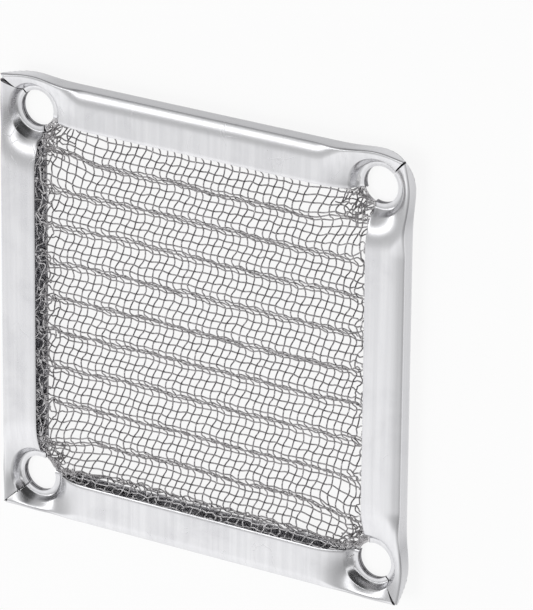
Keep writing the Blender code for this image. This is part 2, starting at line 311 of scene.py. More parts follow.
@dataclass(frozen=True)
class MetalFinish:
    """A bare metal with grain, smudges and scratches, and painted light and shade near the rim
    where an outer colour is given.
    """

    name: str
    colour: Colour
    stained: Colour
    roughness: float
    roughness_swing: float
    grain_across: float
    grain_along: float
    grain_height: float
    scratch_depth: float
    smudge_scale: float
    scratch_scale: float
    streak_stain: float = 0.35
    smudge_stain: float = 0.45
    scratch_roughness: float = 0.15
    # Painted light and shade near the rim: its colour, where it starts and how wide it runs, how
    # X is scaled against Y, and how it weakens at the corners
    outer: Colour | None = None
    painted_rim_from: float = 0.0
    painted_rim_width: float = 0.0
    painted_rim_sides: float = 1.0
    corner_start: float = 20.0 * MM
    corner_stop: float = 27.0 * MM
    corner_share: float = 0.5

    def build(self, grain: bpy.types.NodeTree, wear: bpy.types.NodeTree) -> bpy.types.Material:
        """Make the material.

        Args:
            grain: The shared drawn grain.
            wear: The shared handling wear.

        Returns:
            The finished material.
        """
        material = bpy.data.materials.new(self.name)
        material.use_nodes = True
        material.diffuse_color = self.colour
        tree = material.node_tree
        bench = NodeBench(tree)
        place = bench.add("ShaderNodeTexCoord").outputs["Object"]
        drawn = bench.add("ShaderNodeGroup", {"Vector": place, "Across": self.grain_across,
                                              "Along": self.grain_along}, node_tree=grain)
        worn = bench.add("ShaderNodeGroup", {"Vector": place, "Smudge Scale": self.smudge_scale,
                                             "Scratch Scale": self.scratch_scale}, node_tree=wear)
        streak = drawn.outputs["Tone"]
        smudge, scratch = worn.outputs["Smudge"], worn.outputs["Scratch"]
        swing = bench.math("ADD", bench.math("SUBTRACT", streak, 0.5), smudge)
        rough = bench.math("MULTIPLY_ADD", swing, self.roughness_swing, self.roughness)
        rough = bench.math("MULTIPLY_ADD", scratch, self.scratch_roughness, rough, clamp=True)
        shader = tree.nodes["Principled BSDF"]
        shader.inputs["Metallic"].default_value = 1.0
        tree.links.new(self.toned(bench, place, streak, smudge), shader.inputs["Base Color"])
        tree.links.new(rough, shader.inputs["Roughness"])
        relief = self.relief(bench, drawn.outputs["Height"], scratch)
        tree.links.new(relief, shader.inputs["Normal"])
        return material

    def toned(self, bench: NodeBench, place: bpy.types.NodeSocket, streak: bpy.types.NodeSocket,
              smudge: bpy.types.NodeSocket) -> bpy.types.NodeSocket:
        """Add the colour, stained along the streaks and in the smudges, with painted light and
        shade near the rim.

        Args:
            bench: The material's bench.
            place: Object coordinates.
            streak: Tone of the grain.
            smudge: Mask of the smudges.

        Returns:
            The colour.
        """
        stain = bench.math("ADD", bench.math("MULTIPLY", streak, self.streak_stain),
                           bench.math("MULTIPLY", smudge, self.smudge_stain), clamp=True)
        colour = bench.blend(stain, self.colour, self.stained)
        # Painted light and shade near the rim: a darker outer wall on the aluminium, lighter
        # crushed edges on the wires
        if self.outer:
            colour = bench.blend(self.painted_rim_light_mask(bench, place), colour, self.outer)
        return colour

    def relief(self, bench: NodeBench, grain: bpy.types.NodeSocket,
               scratch: bpy.types.NodeSocket) -> bpy.types.NodeSocket:
        """Add the relief of the grain, with the scratches cut into it.

        Args:
            bench: The material's bench.
            grain: Height of the grain.
            scratch: Mask of the scratches.

        Returns:
            The normal.
        """
        grooves = bench.add("ShaderNodeBump", {"Strength": 1.0, "Distance": self.grain_height,
                                               "Height": grain}).outputs[0]
        return bench.add("ShaderNodeBump", {"Strength": 1.0, "Distance": self.scratch_depth,
                                            "Height": scratch, "Normal": grooves},
                         invert=True).outputs[0]

    def painted_rim_light_mask(self, bench: NodeBench, place: bpy.types.NodeSocket) -> bpy.types.NodeSocket:
        """Add the mask of what lies near the rim, where light and shade are painted: painted
        shade on the aluminium's outer wall, standing in for its grey reflection, and painted
        highlights on the wires crushed into the channels.

        Args:
            bench: The material's bench.
            place: Object coordinates.

        Returns:
            The mask, weaker towards the corners.
        """
        axes = bench.add("ShaderNodeSeparateXYZ", {0: place}).outputs
        side, up = bench.math("ABSOLUTE", axes[0]), bench.math("ABSOLUTE", axes[1])
        out = bench.math("MAXIMUM", bench.math("MULTIPLY", side, self.painted_rim_sides), up)
        reached = bench.remap(out, self.painted_rim_from, self.painted_rim_from + self.painted_rim_width)
        straight = bench.remap(bench.math("MINIMUM", side, up), self.corner_stop,
                               self.corner_start)
        strength = bench.math("MULTIPLY_ADD", straight, 1 - self.corner_share, self.corner_share)
        return bench.math("MULTIPLY", reached, strength)


ALUMINIUM = MetalFinish(
    name="brushed_aluminium",
    colour=(0.86, 0.86, 0.88, 1.0),
    stained=(0.72, 0.72, 0.745, 1.0),
    roughness=0.22,
    roughness_swing=0.05,
    grain_across=9000.0,
    grain_along=260.0,
    grain_height=1.6e-6,
    scratch_depth=6.0e-6,
    smudge_scale=150.0,
    scratch_scale=420.0,
    # Painted shade: the outer wall darker, standing in for its grey reflection
    outer=(0.50, 0.50, 0.515, 1.0),
    painted_rim_from=29.20 * MM,
    painted_rim_width=0.25 * MM,
    painted_rim_sides=0.9957,
)

# Sheared edges: rough like real cut aluminium, but the dark colour is painted shade, standing in
# for the shadow in the screw holes and seams
TORN_EDGE_AND_SHADE = MetalFinish(
    name="torn_aluminium_edge_and_shade",
    colour=(0.34, 0.335, 0.35, 1.0),
    stained=(0.08, 0.078, 0.085, 1.0),
    roughness=0.42,
    roughness_swing=0.15,
    grain_across=5000.0,
    grain_along=5000.0,
    grain_height=1.6e-5,
    scratch_depth=4.0e-6,
    smudge_scale=1400.0,
    scratch_scale=2600.0,
)

STEEL_WIRE = MetalFinish(
    name="drawn_steel_wire",
    colour=(0.53, 0.515, 0.525, 1.0),
    stained=(0.20, 0.192, 0.196, 1.0),
    roughness=0.11,
    roughness_swing=0.05,
    grain_across=14000.0,
    grain_along=2600.0,
    grain_height=1.0e-6,
    scratch_depth=2.0e-6,
    smudge_scale=900.0,
    scratch_scale=2200.0,
    # Painted highlights: lighter wires near the edges, where they lie crushed in the shaded
    # channels
    outer=(0.93, 0.92, 0.93, 1.0),
    painted_rim_from=22.9 * MM,
    painted_rim_width=1.2 * MM,
)


# The folded tray


class Corner(Enum):
    """The four screw holes, by the signs of their X and Y."""

    TOP_LEFT = (-1, 1)
    TOP_RIGHT = (1, 1)
    BOTTOM_LEFT = (-1, -1)
    BOTTOM_RIGHT = (1, -1)


@dataclass(frozen=True)
class SideEnd:
    """What the folding and the punch have left of one end of a side, in metres."""

    cup_depth: float = 1.3 * MM
    press_reach: float = 7.9 * MM
    curve: float = 1.0
    seam_at_ring: float = 0.06 * MM
    seam_at_tip: float = 0.06 * MM


@dataclass
class FoldedTray:
    """The aluminium sheet folded into a tray, with its pressed corners and drawn screw cups."""

    size: float = 58.9 * MM
    height: float = 3.1 * MM
    sheet: float = 0.36 * MM
    window: float = 48.3 * MM
    hole_pitch: float = 50.0 * MM
    hole_radius: float = 2.4 * MM
    ring_radius: float = 2.9 * MM
    ring_height: float = 0.85 * MM
    cup_radius: float = 3.7 * MM
    patch_radius: float = 3.74 * MM
    cup_spread: float = 0.25 * MM
    spread_from: float = 95.0
    spread_over: float = 60.0
    widen_from: float = 0.2 * MM
    widen_over: float = 1.0 * MM
    # The front fold, a wide curve between the holes and a pinched one beside them
    curve_width: float = 2.13 * MM
    pinched_width: float = 0.62 * MM
    bend_radius: float = 0.5 * MM
    pinched_radius: float = 0.55 * MM
    curve_tilt: float = 28.0
    pinched_tilt: float = 10.0
    pinch_reach: float = 8.2 * MM
    back_fold: float = 0.9 * MM
    # How the press, the shearing and the punch have left the flange and the wall
    press_fall: float = 2.2
    edge_roll: float = 0.10 * MM
    roll_width: float = 0.35 * MM
    bulge: float = 0.35 * MM
    bulge_spread: float = 3.0 * MM
    # The pointed tip of a corner, which draws in towards the back
    back_corner_reach: float = 4.1 * MM
    tip_reach: float = 6.5 * MM
    corner_flare: float = 0.8
    corner_rounding: float = 0.6 * MM
    # How the blanks are divided, merged and shaded
    straight_end: float = 17.4 * MM
    least_spare: float = 0.0001
    fan_bend: float = 40.0
    hole_lip: float = 0.05 * MM
    back_margin: float = 0.25 * MM
    merge_distance: float = 0.004 * MM
    smooth_angle: float = 42.0
    middle_columns: int = 48
    ring_columns: int = 56
    cup_rows: int = 8
    ring_middle: float = 0.55
    flange_rows: int = 13
    flange_spacing: float = 1.2
    curve_rows: int = 8
    fold_rows: int = 9
    wall_rows: int = 3
    back_fold_rows: int = 6
    # At each corner, the end of the side that arrives there and of the one that leaves
    ends: dict[Corner, tuple[SideEnd, SideEnd]] = field(default_factory=lambda: {
        Corner.TOP_LEFT: (
            SideEnd(seam_at_ring=0.10 * MM, seam_at_tip=0.05 * MM),
            SideEnd(cup_depth=1.1 * MM, seam_at_ring=0.10 * MM, seam_at_tip=0.8 * MM,
                    curve=0.35),
        ),
        Corner.BOTTOM_LEFT: (
            SideEnd(seam_at_ring=0.11 * MM, seam_at_tip=0.12 * MM, curve=0.35),
            SideEnd(cup_depth=0.85 * MM, seam_at_ring=0.11 * MM, seam_at_tip=0.12 * MM,
                    curve=0.45),
        ),
        Corner.BOTTOM_RIGHT: (
            SideEnd(cup_depth=1.1 * MM, seam_at_ring=0.12 * MM, seam_at_tip=0.38 * MM,
                    curve=0.45),
            SideEnd(seam_at_tip=0.10 * MM),
        ),
        Corner.TOP_RIGHT: (
            SideEnd(cup_depth=1.0 * MM, press_reach=7.5 * MM, seam_at_tip=0.15 * MM),
            SideEnd(seam_at_tip=0.15 * MM),
        ),
    })

    # Direction of the mitre from a hole's axis, turned from along the side to across it
    MITRE = math.pi / 4
    # Rough direction of a ring's first column, just past the window's edge
    FIRST_COLUMN = math.pi * 1.07
    # Rows at the flange's lip and on the flat back, as shares of the way to the fold or from it
    LIP_PARTS = (0.0, 0.02, 0.045, 0.075)
    BACK_PARTS = (0.35, 0.7, 1.0)
    # Start and end corner of each side, going round from the one that faces -Y
    SIDES = (
        (Corner.BOTTOM_LEFT, Corner.BOTTOM_RIGHT),
        (Corner.BOTTOM_RIGHT, Corner.TOP_RIGHT),
        (Corner.TOP_RIGHT, Corner.TOP_LEFT),
        (Corner.TOP_LEFT, Corner.BOTTOM_LEFT),
    )

    @property
    def half(self) -> float:
        """Half of the width over the walls."""
        return self.size / 2

    @property
    def edge(self) -> float:
        """Distance of the window's edge from the middle."""
        return self.window / 2

    @property
    def hole(self) -> float:
        """Distance of a screw hole's axis from the middle, along X and along Y."""
        return self.hole_pitch / 2

    @property
    def patch_edge(self) -> float:
        """Place along the window's edge at which the rings round a hole begin."""
        widest = self.patch_radius + self.cup_spread
        return self.hole - math.sqrt(widest**2 - (self.hole - self.edge) ** 2)

    def from_hole(self, x: float, y: float) -> float:
        """Return the distance in plan from the nearest screw hole's axis."""
        return math.hypot(abs(x) - self.hole, abs(y) - self.hole)

    def end_of(self, side: int, sign: int) -> SideEnd:
        """Pick one end of a side.

        Args:
            side: Number of the side.
            sign: 1 for its end corner, -1 for its start corner.

        Returns:
            What that end looks like.
        """
        start, stop = self.SIDES[side]
        return self.ends[stop][0] if sign > 0 else self.ends[start][1]

    def deepest(self, end: SideEnd) -> float:
        """Return how far the flange is pressed down at the mouth of the cup."""
        return self.height - self.ring_height - end.cup_depth

    def pressed(self, away: float, end: SideEnd) -> float:
        """Return how far the flange is pressed down at a distance from the hole's axis."""
        share = (away - self.cup_radius) / (end.press_reach - self.cup_radius)
        return self.deepest(end) * (1 - min(max(share, 0.0), 1.0)) ** self.press_fall

    def cup_height(self, away: float, end: SideEnd) -> float:
        """Height of the outer skin in the ring and up the drawn wall of the cup.

        Args:
            away: Distance from the hole's axis.
            end: The end of the side that the cup belongs to.

        Returns:
            The height, which meets the pressed flange with the same slope.
        """
        if away <= self.ring_radius:
            return self.ring_height
        lip = self.cup_radius
        if away >= lip:
            return self.height - self.pressed(away, end)
        width = lip - self.ring_radius
        slope = self.deepest(end) * self.press_fall / (end.press_reach - self.cup_radius)
        share = (away - self.ring_radius) / width
        rise = end.cup_depth * (3 * share**2 - 2 * share**3)
        return self.ring_height + rise + slope * width * (share**3 - share**2)

    def pinch(self, along: float, end: SideEnd) -> float:
        """Work out how tightly the front fold is pinched.

        Args:
            along: Place along the side.
            end: The end of the side.

        Returns:
            The share of the full pinch, least between the holes.
        """
        reach = self.pinch_reach
        share = ease((abs(along) - self.hole + reach) / (reach - self.cup_radius))
        return mix(1.0, share, end.curve)

    def bulged(self, along: float) -> float:
        """Return how far the wall stands out beside a hole."""
        return self.bulge * math.exp(-(((abs(along) - self.hole) / self.bulge_spread) ** 2))

    def fold_start(self, along: float, end: SideEnd) -> float:
        """Return the distance from the middle at which the flange starts to turn down."""
        return self.half - mix(self.curve_width, self.pinched_width, self.pinch(along, end))

    def wall_section(self, along: float, end: SideEnd) -> list[tuple[float, float, float]]:
        """Outer skin from the front fold's start, over the wall, to the back.

        Args:
            along: Place along the side.
            end: The end of the side.

        Returns:
            (out, height, share of the press) for each row.
        """
        pinch = self.pinch(along, end)
        radius = mix(self.bend_radius, self.pinched_radius, pinch)
        tilt = math.radians(mix(self.curve_tilt, self.pinched_tilt, pinch))
        start = self.fold_start(along, end)
        gentle = self.half - radius * (1 - math.sin(tilt)) - start
        rows = []
        for step in range(1, self.curve_rows + 1):
            share = step / self.curve_rows
            fall = math.tan(tilt) * gentle / 2 * share**2
            rows.append((start + gentle * share, self.height - fall, 1.0))
        top = rows[-1][1] - radius * math.cos(tilt)
        for step in range(1, self.fold_rows + 1):
            turn = mix(tilt, math.pi / 2, step / self.fold_rows)
            out = self.half - radius * (1 - math.sin(turn))
            rows.append((out, top + radius * math.cos(turn), 1.0))
        low = self.back_fold
        for step in range(1, self.wall_rows + 1):
            share = step / (self.wall_rows + 1)
            rows.append((self.half, mix(top, low, share), 1 - share))
        for step in range(self.back_fold_rows + 1):
            turn = math.pi / 2 * step / self.back_fold_rows
            out = self.half - self.back_fold * (1 - math.cos(turn))
            rows.append((out, self.back_fold * (1 - math.sin(turn)), 0.0))
        return rows

    def corner_limit(self, height: float) -> float:
        """Return how far the tray reaches from a hole's axis to the tip, at a height."""
        share = min(max(height / self.height, 0.0), 1.0)
        return mix(self.back_corner_reach, self.tip_reach, share**self.corner_flare)

    def seam(self, away: float, height: float, end: SideEnd) -> float:
        """Work out half of the mitre's gap, which closes at the back.

        Args:
            away: Distance from the hole's axis.
            height: Height of the place.
            end: The end of the side.

        Returns:
            Half of the gap.
        """
        flare = ease((away - self.cup_radius) / (self.tip_reach - self.cup_radius))
        gap = mix(end.seam_at_ring, end.seam_at_tip, flare)
        return gap * ease(height / self.back_fold)

    def at_angle(self, share: float, away: float, height: float, end: SideEnd
                 ) -> tuple[float, float]:
        """Plan place on the ring of a radius round the hole's axis.

        Args:
            share: 0 on the window's edge, 1 on the mitre.
            away: Distance from the axis.
            height: Height, which sets the mitre's gap.
            end: The end of the side.

        Returns:
            (along, out).
        """
        wider = self.spread(mix(self.FIRST_COLUMN, self.MITRE, share))
        away += wider * ease((away - self.hole_radius - self.widen_from) / self.widen_over)
        stop = self.MITRE + math.asin(self.seam(away, height, end) / away)
        angle = mix(self.edge_angle(away), stop, share)
        return self.hole + away * math.cos(angle), self.hole + away * math.sin(angle)

    def edge_angle(self, away: float) -> float:
        """Return the direction in which the window's edge crosses the ring of a radius."""
        return math.pi + math.asin((self.hole - self.edge) / away)

    def spread(self, angle: float) -> float:
        """Return how much wider the cup is drawn in a direction, most where it has room."""
        past = angle - math.radians(self.spread_from)
        return self.cup_spread * ease(past / math.radians(self.spread_over))

    def fan_place(self, share: float) -> float:
        """Place along the fold that a ring column runs to.

        Args:
            share: 0 on the window's edge, 1 on the mitre.

        Returns:
            The place along the side, up to the hole's axis.
        """
        start = self.edge_angle(self.patch_radius)
        lean = mix(start, self.MITRE, share) - math.pi / 2
        bend = math.radians(self.fan_bend)
        reach = self.half - self.pinched_width - self.hole
        if lean <= bend:
            return self.hole - reach * math.tan(lean)
        first = math.tan(bend)
        past = lean - bend
        most = start - math.pi / 2 - bend
        slope = 1 / math.cos(bend) ** 2
        target = (self.hole - self.straight_end) / reach
        curve = (target - first - slope * most) / most**2
        return self.hole - reach * (first + slope * past + curve * past**2)

    def column(self, share: float, along: float, end: SideEnd, ringed: bool) -> list[Point]:
        """Outer skin of one column of faces, from the flange's edge round to the back's.

        Args:
            share: Place of a ring column between the window's edge and the mitre.
            along: Place of a plain column along the window's edge.
            end: The end of the side.
            ringed: Whether the column starts at the screw hole.

        Returns:
            (along, out, height) for each row.
        """
        points: list[Point] = []
        if ringed:
            foot = self.fan_place(share)
            mouth = self.at_angle(share, self.patch_radius, self.height, end)
            flat_mouth = self.at_angle(share, self.back_patch(share), 0.0, end)
            for away in self.ring_rows():
                place = self.at_angle(share, away, self.height, end)
                points.append((*place, self.cup_height(away, end) - self.rolled(place[1])))
        else:
            foot = along * self.straight_end / self.patch_edge
            mouth = flat_mouth = (along, self.edge)
        section = self.wall_section(min(foot, self.hole), end)
        start = self.out_place(foot, share, self.fold_start(min(foot, self.hole), end),
                               self.height, end, ringed)
        for part in self.flange_parts()[1 if ringed else 0:]:
            place = between(mouth, start, part)
            height = self.cup_height(self.away(*place), end) - self.rolled(place[1])
            points.append((*place, height))
        for out, height, press in section:
            flat = self.out_place(foot, share, out, height, end, ringed)
            sunk = height - press * self.pressed(self.away(*flat), end)
            place = self.out_place(foot, share, out, max(sunk, 0.0), end, ringed)
            points.append((*place, sunk))
        inner = points[-1]
        for part in self.BACK_PARTS:
            points.append((*between(inner, flat_mouth, part), 0.0))
        if ringed:
            for away in (mix(self.back_patch(share), self.hole_radius, 0.5), self.hole_radius):
                points.append((*self.at_angle(share, away, 0.0, end), 0.0))
        return points

    def flange_parts(self) -> list[float]:
        """Return the places of the flange's rows, from 0 at its edge to 1 at the fold."""
        steps = range(2, self.flange_rows + 1)
        return [*self.LIP_PARTS, *((n / self.flange_rows) ** self.flange_spacing for n in steps)]

    def rolled(self, out: float) -> float:
        """Return how far the shearing has rolled the flange down near the window's edge."""
        share = 1 - (out - self.edge) / self.roll_width
        return self.edge_roll * max(share, 0.0) ** 2

    def back_patch(self, share: float) -> float:
        """Return the radius of the outermost ring of faces on the back, inside its fold."""
        widest = self.half - self.back_fold - self.hole - self.back_margin
        return mix(self.patch_radius, widest, ease(share * 3))

    def ring_rows(self) -> list[float]:
        """Space the rings of faces from the hole's edge to the flange, close at the wall.

        Returns:
            The radius of each ring.
        """
        middle = mix(self.hole_radius, self.ring_radius, self.ring_middle)
        wall = [mix(self.ring_radius, self.cup_radius, step / self.cup_rows)
                for step in range(1, self.cup_rows + 1)]
        return [self.hole_radius, self.hole_radius + self.hole_lip, middle, self.ring_radius,
                *wall, self.patch_radius]

    def away(self, along: float, out: float) -> float:
        """Return the distance in plan from the nearest hole's axis, less the cup's spread."""
        angle = math.atan2(out - self.hole, along - self.hole) % math.tau
        return math.hypot(along - self.hole, out - self.hole) - self.spread(angle)

    def out_place(self, foot: float, share: float, out: float, height: float, end: SideEnd,
                  ringed: bool) -> tuple[float, float]:
        """Plan place of a row on the fold or the wall.

        Args:
            foot: Place along the side that the column runs to.
            share: Place of a ring column between the window's edge and the mitre.
            out: Distance from the middle before the wall bulges.
            height: Height of the row.
            end: The end of the side.
            ringed: Whether the column starts at the screw hole.

        Returns:
            (along, out).
        """
        stand = ease((out - self.half + self.back_fold) / (self.back_fold - self.sheet))
        if not ringed or foot <= self.hole:
            return foot, out + self.bulged(foot) * stand
        angle = mix(self.edge_angle(self.patch_radius), self.MITRE, share)
        open_by = ease((math.pi / 2 - angle) / self.MITRE)
        reach = self.corner_reach(angle, out, height, stand)
        angle += math.asin(self.seam(reach, height, end) / reach) * open_by
        reach = self.corner_reach(angle, out, height, stand)
        return self.hole + reach * math.cos(angle), self.hole + reach * math.sin(angle)

    def corner_reach(self, angle: float, out: float, height: float, stand: float) -> float:
        """Distance from the hole's axis to the fold or wall in a direction towards the tip.

        Args:
            angle: Direction, from 45 degrees at the mitre to 90 across the side.
            out: Distance of the plain side from the middle.
            height: Height of the place.
            stand: How much of the bulge applies.

        Returns:
            The distance, held back by the rounded corner of the back.
        """
        past = out - self.hole
        past += self.bulged(self.hole + past / math.tan(angle)) * stand
        reach = past / math.sin(angle)
        spare = reach / past - 1
        if spare < self.least_spare:
            return past
        limit = max(self.corner_limit(height), past)
        return soft_min(reach, limit, self.corner_rounding * spare)

    @staticmethod
    def turned(along: float, out: float, side: int) -> tuple[float, float]:
        """Turn a side's own plan place to its place round the window.

        Args:
            along: Place along the side.
            out: Distance from the middle.
            side: Number of the side, 0 facing -Y.

        Returns:
            X and Y.
        """
        x, y = along, -out
        for _ in range(side):
            x, y = -y, x
        return x, y

    def bend_blank(self, columns: list[list[Point]], side: int, name: str) -> bpy.types.Object:
        """Bend a flat blank to columns of places.

        Args:
            columns: Places of each column's rows, in the side's own frame.
            side: Number of the side.
            name: Name of the blank.

        Returns:
            The bent sheet, with no thickness yet.
        """
        wide, tall = len(columns) - 1, len(columns[0]) - 1
        bpy.ops.mesh.primitive_grid_add(x_subdivisions=wide, y_subdivisions=tall, size=2)
        blank = bpy.context.active_object
        blank.name = name
        flat = vertex_places(blank.data)
        column = np.rint((flat[:, 0] + 1) / 2 * wide).astype(int)
        row = np.rint((flat[:, 1] + 1) / 2 * tall).astype(int)
        bent = np.empty_like(flat)
        for index, (across, down) in enumerate(zip(column, row)):
            along, out, height = columns[across][down]
            bent[index] = (*self.turned(along, out, side), height)
        blank.data.vertices.foreach_set("co", bent.ravel())
        return blank

    def side_blanks(self, side: int) -> list[bpy.types.Object]:
        """Bend the three blanks of one side.

        Args:
            side: Number of the side, from the one that faces -Y.

        Returns:
            The middle of the side and its two ends.
        """
        middle = []
        for step in range(self.middle_columns + 1):
            share = math.sin(math.pi / 2 * (2 * step / self.middle_columns - 1))
            along = abs(share) * self.patch_edge
            end = self.end_of(side, 1 if share >= 0 else -1)
            points = self.column(0.0, along, end, ringed=False)
            middle.append([(math.copysign(a, share), o, h) for a, o, h in points])
        blanks = [self.bend_blank(middle, side, f"side_{side}_middle")]
        for sign in (1, -1):
            end = self.end_of(side, sign)
            columns = []
            for step in range(self.ring_columns + 1):
                points = self.column(step / self.ring_columns, 0.0, end, ringed=True)
                columns.append([(sign * a, o, h) for a, o, h in points])
            blanks.append(self.bend_blank(columns, side, f"side_{side}_end_{sign}"))
        return blanks

    def build(self, finish: bpy.types.Material, cut: bpy.types.Material) -> bpy.types.Object:
        """Bend, join and thicken the sheet.

        Args:
            finish: Material of the sheet.
            cut: Material of its sheared edges, dark with painted shade.

        Returns:
            The folded tray.
        """
        deselect_all()
        blanks = [blank for side in range(4) for blank in self.side_blanks(side)]
        tray = join(blanks, "folded_tray")
        bpy.ops.object.mode_set(mode="EDIT")
        bpy.ops.mesh.select_all(action="SELECT")
        bpy.ops.mesh.remove_doubles(threshold=self.merge_distance)
        bpy.ops.mesh.normals_make_consistent(inside=False)
        bpy.ops.object.mode_set(mode="OBJECT")
        self.face_outward(tray)
        tray.data.materials.append(finish)
        tray.data.materials.append(cut)
        # The rims take the second material: the sheared edges, dark with painted shade
        apply_modifier(tray, "SOLIDIFY", thickness=self.sheet, offset=-1.0,
                       use_even_offset=True, use_quality_normals=True, material_offset_rim=1)
        pick(tray)
        bpy.ops.object.shade_smooth_by_angle(angle=math.radians(self.smooth_angle))
        return tray

    @staticmethod
    def face_outward(sheet: bpy.types.Object) -> None:
        """Turn the open sheet so that its flat back faces down.

        Args:
            sheet: The sheet, before it has a thickness.
        """
        back = min(sheet.data.polygons, key=lambda face: face.center.z)
        if back.normal.z > 0:
            pick(sheet)
            bpy.ops.object.mode_set(mode="EDIT")
            bpy.ops.mesh.select_all(action="SELECT")
            bpy.ops.mesh.flip_normals()
            bpy.ops.object.mode_set(mode="OBJECT")


# The woven mesh


class WireSet(Enum):
    """The two sets of wires of the weave."""

    LENGTHWISE = "lengthwise_wires"
    CROSSWISE = "crosswise_wires"


@dataclass
class WovenMesh:
    """Plain woven steel wire, pressed into ridges along X and held between the folds."""

    tray: FoldedTray
    size: float = 55.4 * MM
    wire: float = 0.19 * MM
    pitch: float = 1.067 * MM
    ridge_pitch: float = 4.72 * MM
    ridge_offset: float = 1.58 * MM
    ridge_drift: tuple[float, ...] = (-0.09, -0.34, 0.10, 0.06, -0.26, 0.01, 0.35, 0.21, -0.08)
    first_drifted: int = -4
    # Height of the wave in the open field, and where the folds hold it
    low: float = 0.58 * MM
    high: float = 2.50 * MM
    channel_low: float = 0.65 * MM
    channel_high: float = 2.45 * MM
    least_wave: float = 0.1 * MM
    # The ridges' sway, and how finely the wave is measured
    slow_sway: float = 0.10 * MM
    slow_length: float = 7.0 * MM
    quick_sway: float = 0.06 * MM
    quick_length: float = 2.3 * MM
    ridge_span: int = 8
    wave_samples: int = 6001
    edge_crush: float = 3.0 * MM
    # How finely a wire is divided
    steps_per_pitch: int = 4
    wire_sides: int = 6
    # Crumpled edges and corners, and the slight sway and stray of the open field
    crumple_reach: float = 3.6 * MM
    crumple: float = 0.62 * MM
    crumple_size: float = 0.85 * MM
    stray: float = 0.40 * MM
    field_sway: float = 0.20 * MM
    field_stray: float = 0.10 * MM
    field_scale: float = 0.35
    stray_scale: float = 0.6
    stray_apart: Point = (3.7, 1.3, 5.0)
    squeeze: float = 1.0 * MM
    crush_left: float = 1.15
    crush_right: float = 0.85
    crush_front: float = 0.7
    crush_back: float = 0.12
    crush_corner: float = 1.8
    corner_crush: float = 9.0 * MM
    corner_width: float = 5.0 * MM
    # How the punch gathers the wires round a screw hole
    punch_reach: float = 11.0 * MM
    punch_gather: float = 2.1
    cut_radius: float = 0.6 * MM
    notch_radius: float = 4.3 * MM
    notch_from: float = 0.45
    notch_over: float = 0.4
    hole_clearance: float = 0.14 * MM
    slope_beside_hole: float = 0.9
    rise_beside_hole: float = 0.3 * MM
    # Room between the sheets
    under_from: float = 1.1 * MM
    under_over: float = 0.7 * MM
    floor_clearance: float = 0.02 * MM
    roof_clearance: float = 0.05 * MM
    sheet_clearance: float = 0.12 * MM
    # The second layer of a corner that was folded over
    flap_reach: float = 8.2 * MM
    flap_shift: float = 0.45 * MM
    flap_lift: float = 0.22 * MM
    flap_uneven: float = 0.2
    flap_turn: float = 2.4
    flap_seed: int = 200
    flap_steps: int = 24
    noise_seed: int = 11
    smooth_angle: float = 70.0
    # Worked out from the sizes: the ridges, their numbers, and the wave's arc length at samples
    ridges: np.ndarray = field(init=False)
    numbers: np.ndarray = field(init=False)
    samples: np.ndarray = field(init=False)
    lengths: np.ndarray = field(init=False)

    def __post_init__(self) -> None:
        """Seed the noise, and work out the ridges' places and the arc length along the wave."""
        noise.seed_set(self.noise_seed)
        half = self.size / 2
        numbers = range(-self.ridge_span, self.ridge_span + 1)
        self.ridges = np.array([
            self.ridge_offset + n * self.ridge_pitch + self.drift(n) for n in numbers])
        self.numbers = np.array(numbers, float)
        self.samples = np.linspace(-half, half, self.wave_samples)
        heights = np.array([self.height(0.0, y) for y in self.samples])
        steps = np.hypot(np.diff(self.samples), np.diff(heights))
        self.lengths = np.concatenate(([0.0], np.cumsum(steps)))

    def drift(self, number: int) -> float:
        """Return how far a ridge lies from its even place."""
        index = number - self.first_drifted
        return self.ridge_drift[index] * MM if 0 <= index < len(self.ridge_drift) else 0.0

    def inside(self, x: float, y: float, reach: float) -> float:
        """Return 0 at the window's edge and beyond, rising to 1 at a reach inside it."""
        return ease((self.tray.edge - max(abs(x), abs(y))) / reach)

    def height(self, x: float, y: float) -> float:
        """Height of the middle of the weave.

        Args:
            x: Place along the ridges.
            y: Place across the ridges.

        Returns:
            The height of the rounded wave, flattened towards the folds and the screw cups.
        """
        inside = self.inside(x, y, self.edge_crush)
        low = mix(self.channel_low, self.low, inside)
        high = mix(self.channel_high, self.high, inside)
        tray = self.tray
        sunk = tray.pressed(tray.from_hole(x, y) - tray.cup_spread, SideEnd())
        high = max(high - sunk, low + self.least_wave)
        number = float(np.interp(self.swayed(x, y), self.ridges, self.numbers))
        return mix(low, high, 0.5 + 0.5 * math.cos(math.tau * number))

    def swayed(self, x: float, y: float) -> float:
        """Return Y with the gentle sway of the ridges along their length."""
        slow = self.slow_sway * math.sin(x / self.slow_length)
        return y + slow + self.quick_sway * math.sin(x / self.quick_length + y / MM)

    def crumpled(self, x: float, y: float, z: float, wire_seed: float) -> Point:
        """Push a place on a wire about where the edges of the mesh were crushed into the folds.

        Args:
            x: Place along the ridges.
            y: Place across the ridges.
            z: Height.
            wire_seed: Number of the wire, which sets its own stray.

        Returns:
            The pushed place.
        """
        amount = self.crush(x, y)
        spot = Vector((x, y, z)) / self.crumple_size
        across, along, layer = self.stray_apart
        apart = Vector((wire_seed * across, wire_seed * along, layer))
        own = noise.noise_vector(spot * self.stray_scale + apart)
        push = noise.noise_vector(spot * self.field_scale) * self.field_sway
        push += own * self.field_stray
        if amount > 0:
            push += (noise.noise_vector(spot) * self.crumple + own * self.stray) * amount
        return *self.pushed_in(x + push.x, y + push.y), z + push.z

